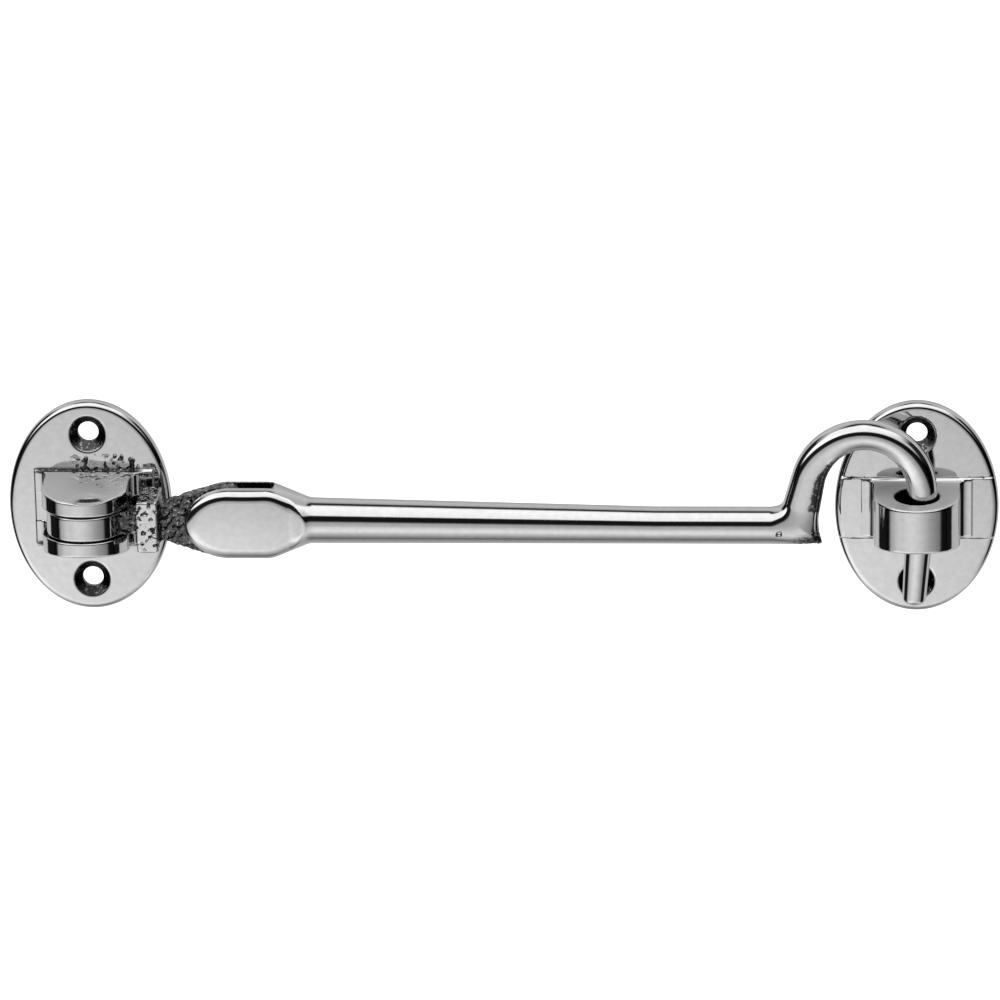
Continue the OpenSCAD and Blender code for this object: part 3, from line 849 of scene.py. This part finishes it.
def chrome_material(name, colour, rough):
    """Polished plating, with less polished faces painted paler as a sheen, and a dark skin of unpolished
    casting and painted shade, where the mesh marks them.
    """
    material = bpy.data.materials.new(name)
    material.use_nodes = True
    nodes, links = material.node_tree.nodes, material.node_tree.links
    shader = nodes["Principled BSDF"]
    shader.inputs["Metallic"].default_value = 1.0
    where = nodes.new("ShaderNodeTexCoord")

    def noise(scale, detail):
        node = nodes.new("ShaderNodeTexNoise")
        node.inputs["Scale"].default_value = scale
        node.inputs["Detail"].default_value = detail
        links.new(where.outputs["Object"], node.inputs["Vector"])
        return node

    def between(source, low, high, start=0.3, end=0.7):
        node = nodes.new("ShaderNodeMapRange")
        node.inputs["From Min"].default_value = start
        node.inputs["From Max"].default_value = end
        node.inputs["To Min"].default_value = low
        node.inputs["To Max"].default_value = high
        links.new(source, node.inputs["Value"])
        return node.outputs["Result"]

    def mark(attribute):
        node = nodes.new("ShaderNodeAttribute")
        node.attribute_name = attribute
        return node.outputs["Fac"]

    def tint(share):
        return (*[min(1, c * share) for c in colour], 1)

    def blend(factor, start, end):
        node = nodes.new("ShaderNodeMix")
        node.data_type = "RGBA"
        links.new(factor, node.inputs["Factor"])
        for socket, value in (("A", start), ("B", end)):
            if isinstance(value, tuple):
                node.inputs[socket].default_value = value
            else:
                links.new(value, node.inputs[socket])
        return node.outputs["Result"]

    def times_plus(source, factor, more):
        node = nodes.new("ShaderNodeMath")
        node.operation = "MULTIPLY_ADD"
        links.new(source, node.inputs[0])
        node.inputs[1].default_value = factor
        if isinstance(more, float):
            node.inputs[2].default_value = more
        else:
            links.new(more, node.inputs[2])
        return node.outputs["Value"]

    bare_and_shade, satin_and_sheen = mark("bare_casting_and_shade"), mark("satin_finish_and_sheen")
    # Mottled plating, painted paler as a sheen where less polished, and a dark speckled skin: unpolished
    # casting and pits, and painted shade and dark reflection in corners, recesses and the crook.
    mottling = between(noise(*MOTTLE_NOISE).outputs["Fac"], 0, 1)
    mottle = blend(mottling, tint(MOTTLE_SHARES[0]), tint(MOTTLE_SHARES[1]))
    # Less polished faces made paler in colour: a painted sheen.
    painted_sheen = blend(satin_and_sheen, mottle, tint(PAINTED_SHEEN_SHARE))
    speckle = nodes.new("ShaderNodeMath")
    speckle.operation = "MULTIPLY"
    links.new(bare_and_shade, speckle.inputs[0])
    specks = between(noise(*SPECKLE_NOISE).outputs["Fac"], *SPECKLE_SHARES, *SPECKLE_RANGE)
    links.new(specks, speckle.inputs[1])
    # The dark skin colour is partly painted shade and dark reflection.
    links.new(blend(speckle.outputs["Value"], painted_sheen, tint(SKIN_AND_SHADE_SHARE)), shader.inputs["Base Color"])
    # Roughness: polish with faint wheel marks, rougher less polished faces, rougher unpolished casting.
    polish = between(noise(*POLISH_NOISE).outputs["Fac"], *[rough * share for share in POLISH_SHARES])
    roughness = times_plus(bare_and_shade, BARE_ROUGH, times_plus(satin_and_sheen, SATIN_ROUGH, polish))
    links.new(roughness, shader.inputs["Roughness"])
    bump = nodes.new("ShaderNodeBump")
    bump.inputs["Distance"].default_value = BUMP_HEIGHT
    strength = times_plus(bare_and_shade, BUMP_BARE, times_plus(satin_and_sheen, BUMP_SATIN, BUMP_POLISH))
    links.new(strength, bump.inputs["Strength"])
    links.new(noise(*BUMP_NOISE).outputs["Fac"], bump.inputs["Height"])
    links.new(bump.outputs["Normal"], shader.inputs["Normal"])
    return material


plating = ("plated_casting", chrome_material("chrome_plating", CHROME, CHROME_ROUGH))
rivet_finish = ("rivet_steel", chrome_material("dressed_rivet", RIVET_STEEL, RIVET_ROUGH))

# Pieces.

casting_piece("hook_plate_casting", hook_plate_field, hook_low, hook_high, FINE_CELL, plating,
              "hook_plate", "hook_plate", hook_plate_bare_and_shade, hook_plate_satin_and_sheen)
casting_piece("eye_plate_casting", eye_plate_field, eye_low, eye_high, CELL, plating,
              "eye", "eye_plate", eye_plate_darkening, eye_plate_satin_and_sheen)
casting_piece("swivel_casting", knuckle_field, knuckle_low, knuckle_high, FINE_CELL, plating,
              "swivel", "swivel_knuckle", knuckle_bare_and_shade)
casting_piece("arm_casting", arm_field, arm_low, arm_high, CELL, plating, "arm", "hook_arm", arm_bare_and_shade)
casting_piece("pivot_pin_shank", pin_field, pin_low, pin_high, CELL, rivet_finish, "hook_plate", "pivot_pin",
              satin_and_sheen=hook_plate_satin_and_sheen)
casting_piece("lift_rivet_shank", rivet_field, rivet_low, rivet_high, CELL, rivet_finish, "arm", "lift_rivet")

# Floor, light and camera, in metres.

FLOOR_Z = -0.16
FLOOR_HALF = 6.0
FLOOR_COLOUR = (0.8, 0.8, 0.8, 1)
FLOOR_GLOW = 0.85
LAMP_SIZE = (1.6, 1.0)
LAMP_POWER = 9.0
LAMP_PLACE = (0.076, -0.35, 1.3)
LAMP_AIM = (0.076, 0, 0)
CAMERA_AIM = (0.076, -0.008, 0.0031)
CAMERA_AZIMUTH = math.radians(3.45)
CAMERA_ELEVATION = math.radians(17.64)
CAMERA_ROLL = math.radians(-0.94)
CAMERA_DISTANCE = 1.2525
CLIP_START = 0.05
SENSOR = 36.0
LENS_RATIO = 6.858
FOCAL = LENS_RATIO * SENSOR


def light_path_share(nodes, links):
    """1 for rays that show the background: camera, glossy and transmission rays."""
    path = nodes.new("ShaderNodeLightPath")
    first = nodes.new("ShaderNodeMath")
    first.operation = "MAXIMUM"
    links.new(path.outputs["Is Camera Ray"], first.inputs[0])
    links.new(path.outputs["Is Glossy Ray"], first.inputs[1])
    second = nodes.new("ShaderNodeMath")
    second.operation = "MAXIMUM"
    links.new(first.outputs["Value"], second.inputs[0])
    links.new(path.outputs["Is Transmission Ray"], second.inputs[1])
    return second.outputs["Value"]


def make_floor():
    """A wide pale floor. To the camera it also glows, so that it runs into the white background."""
    mesh = bpy.data.meshes.new("floor")
    corners = [(-1, -1), (1, -1), (1, 1), (-1, 1)]
    mesh.from_pydata([(x * FLOOR_HALF, y * FLOOR_HALF, FLOOR_Z) for x, y in corners], [], [(0, 1, 2, 3)])
    floor = bpy.data.objects.new("floor", mesh)
    bpy.context.scene.collection.objects.link(floor)
    material = bpy.data.materials.new("pale_floor")
    material.use_nodes = True
    nodes, links = material.node_tree.nodes, material.node_tree.links
    shader = nodes["Principled BSDF"]
    shader.inputs["Base Color"].default_value = FLOOR_COLOUR
    shader.inputs["Roughness"].default_value = 1.0
    shader.inputs["Specular IOR Level"].default_value = 0.0
    shader.inputs["Emission Color"].default_value = (1, 1, 1, 1)
    glow = nodes.new("ShaderNodeMath")
    glow.operation = "MULTIPLY"
    glow.inputs[1].default_value = FLOOR_GLOW
    links.new(light_path_share(nodes, links), glow.inputs[0])
    links.new(glow.outputs["Value"], shader.inputs["Emission Strength"])
    mesh.materials.append(material)
    # The studio in the world's shader stands for the floor in reflections.
    floor.visible_glossy = False


# The studio that reflections see: levels by height in degrees, in front of the latch and behind it,
# and levels by side, from the left (negative) round to the right.
LIGHTEST = 1.5
PLAIN_LIGHT = 0.6
BELT_HANG = 30.0
AHEAD_LEVELS = [
    (-90, 0.25), (-82, 0.21), (-72, 0.37), (-55, 0.7), (-41, 1.04), (-34, 1.14), (-20, 0.97), (-8, 0.66),
    (0, 0.58), (6, 0.5), (11, 0.12), (15, 0.01), (37, 0.01), (43, 1.35), (80, 1.5), (90, 1.45)]
BEHIND_LEVELS = [
    (-90, 0.25), (-80, 0.39), (-68, 0.5), (-56, 0.58), (0, 0.6), (15, 0.5), (32, 0.66), (45, 0.76),
    (62, 0.6), (66, 0.3), (70, 0.03), (78, 0.03), (82, 0.5), (86, 1.4), (90, 1.45)]
SIDE_LEVELS = [
    (-180, 1.0), (-124, 1.2), (-118, 0.02), (-80, 0.02), (-74, 1.1), (-52, 1.45), (-20, 1.16), (0, 0.98),
    (30, 0.76), (45, 0.66), (62, 0.5), (69, 0.02), (104, 0.02), (109, 1.1), (130, 1.1), (180, 1.0)]
UPRIGHT_SHARES = [(0, 1), (0.6, 1), (0.8, 0), (1, 0)]
FRONT_SHARES = [(0.47, 0), (0.53, 1)]


def make_world():
    """A studio: pale floor in front, dark belt behind the camera, softbox above, black side cards."""
    world = bpy.data.worlds.new("studio")
    bpy.context.scene.world = world
    world.use_nodes = True
    nodes, links = world.node_tree.nodes, world.node_tree.links
    background = nodes["Background"]
    background.inputs["Color"].default_value = (1, 1, 1, 1)
    where = nodes.new("ShaderNodeTexCoord")
    split = nodes.new("ShaderNodeSeparateXYZ")
    links.new(where.outputs["Generated"], split.inputs["Vector"])

    def math_node(operation, a, b=None):
        node = nodes.new("ShaderNodeMath")
        node.operation = operation
        for socket, value in zip(node.inputs, (a, b)):
            if value is None:
                continue
            if isinstance(value, (int, float)):
                socket.default_value = value
            else:
                links.new(value, socket)
        return node.outputs["Value"]

    def ramp(value, stops):
        node = nodes.new("ShaderNodeValToRGB")
        elements = node.color_ramp.elements
        while len(elements) > 1:
            elements.remove(elements[-1])
        for k, (place, level) in enumerate(stops):
            element = elements[0] if k == 0 else elements.new(place)
            element.position = place
            element.color = (level, level, level, 1)
        links.new(value, node.inputs["Fac"])
        return node.outputs["Color"]

    def degrees(half, stops):
        return [((angle + half) / (2 * half), level / LIGHTEST) for angle, level in stops]

    def mix(factor, start, end):
        node = nodes.new("ShaderNodeMix")
        node.data_type = "FLOAT"
        links.new(factor, node.inputs["Factor"])
        for socket, value in (("A", start), ("B", end)):
            if isinstance(value, float):
                node.inputs[socket].default_value = value
            else:
                links.new(value, node.inputs[socket])
        return node.outputs["Result"]

    # Levels by height: in front of the latch, and behind it.
    height = math_node("ADD", math_node("DIVIDE", math_node("ARCSINE", split.outputs["Z"]), math.pi), 0.5)
    # The dark belt hangs lower to the left and right of the camera.
    aside = math_node("MULTIPLY", math_node("POWER", split.outputs["X"], 2.0), BELT_HANG / 180)
    ahead = ramp(math_node("ADD", height, aside), degrees(90, AHEAD_LEVELS))
    behind = ramp(height, degrees(90, BEHIND_LEVELS))
    front = math_node("MULTIPLY", split.outputs["Y"], -1.0)
    in_front = ramp(math_node("ADD", math_node("MULTIPLY", front, 0.5), 0.5), FRONT_SHARES)
    by_height = mix(in_front, behind, ahead)
    # Levels by side: brighter to the left, a black card on each side.
    turn = math_node("ARCTAN2", split.outputs["X"], front)
    turn = math_node("ADD", math_node("DIVIDE", turn, 2 * math.pi), 0.5)
    cards = ramp(turn, degrees(180, SIDE_LEVELS))
    upright = ramp(math_node("ABSOLUTE", split.outputs["Z"]), UPRIGHT_SHARES)
    by_side = mix(upright, 1.0, math_node("MULTIPLY", cards, LIGHTEST))
    studio = math_node("MULTIPLY", math_node("MULTIPLY", by_height, by_side), LIGHTEST)
    # Reflections see the studio, the camera sees white, and other rays a plain level.
    path = nodes.new("ShaderNodeLightPath")
    plain = mix(path.outputs["Is Glossy Ray"], PLAIN_LIGHT, studio)
    links.new(mix(path.outputs["Is Camera Ray"], plain, 1.0), background.inputs["Strength"])


def make_lamp():
    """A soft lamp from above, for the floor and for what isn't a reflection."""
    light = bpy.data.lights.new("softbox", "AREA")
    light.shape = "RECTANGLE"
    light.size, light.size_y = LAMP_SIZE
    light.energy = LAMP_POWER
    lamp = bpy.data.objects.new("softbox", light)
    lamp.location = LAMP_PLACE
    lamp.rotation_euler = (Vector(LAMP_AIM) - lamp.location).to_track_quat("-Z", "Y").to_euler()
    lamp.visible_glossy = False
    lamp.visible_camera = False
    bpy.context.scene.collection.objects.link(lamp)


def make_camera():
    """The photo's camera, turned a little about its own axis."""
    camera = bpy.data.objects.new("camera", bpy.data.cameras.new("camera"))
    camera.data.sensor_width = SENSOR
    camera.data.sensor_fit = "HORIZONTAL"
    camera.data.lens = FOCAL
    camera.data.clip_start = CLIP_START
    a, e = CAMERA_AZIMUTH, CAMERA_ELEVATION
    ahead = Vector((-math.sin(a) * math.cos(e), math.cos(a) * math.cos(e), -math.sin(e)))
    right = Vector((math.cos(a), math.sin(a), 0))
    up = right.cross(ahead)
    c, s = math.cos(CAMERA_ROLL), math.sin(CAMERA_ROLL)
    right, up = c * right + s * up, c * up - s * right
    place = Vector(CAMERA_AIM) - ahead * CAMERA_DISTANCE
    camera.matrix_world = Matrix.Translation(place) @ Matrix((right, up, -ahead)).transposed().to_4x4()
    bpy.context.scene.collection.objects.link(camera)
    bpy.context.scene.camera = camera


make_floor()
make_world()
make_lamp()
make_camera()
bpy.context.scene.view_settings.view_transform = "Standard"

bpy.context.view_layer.update()
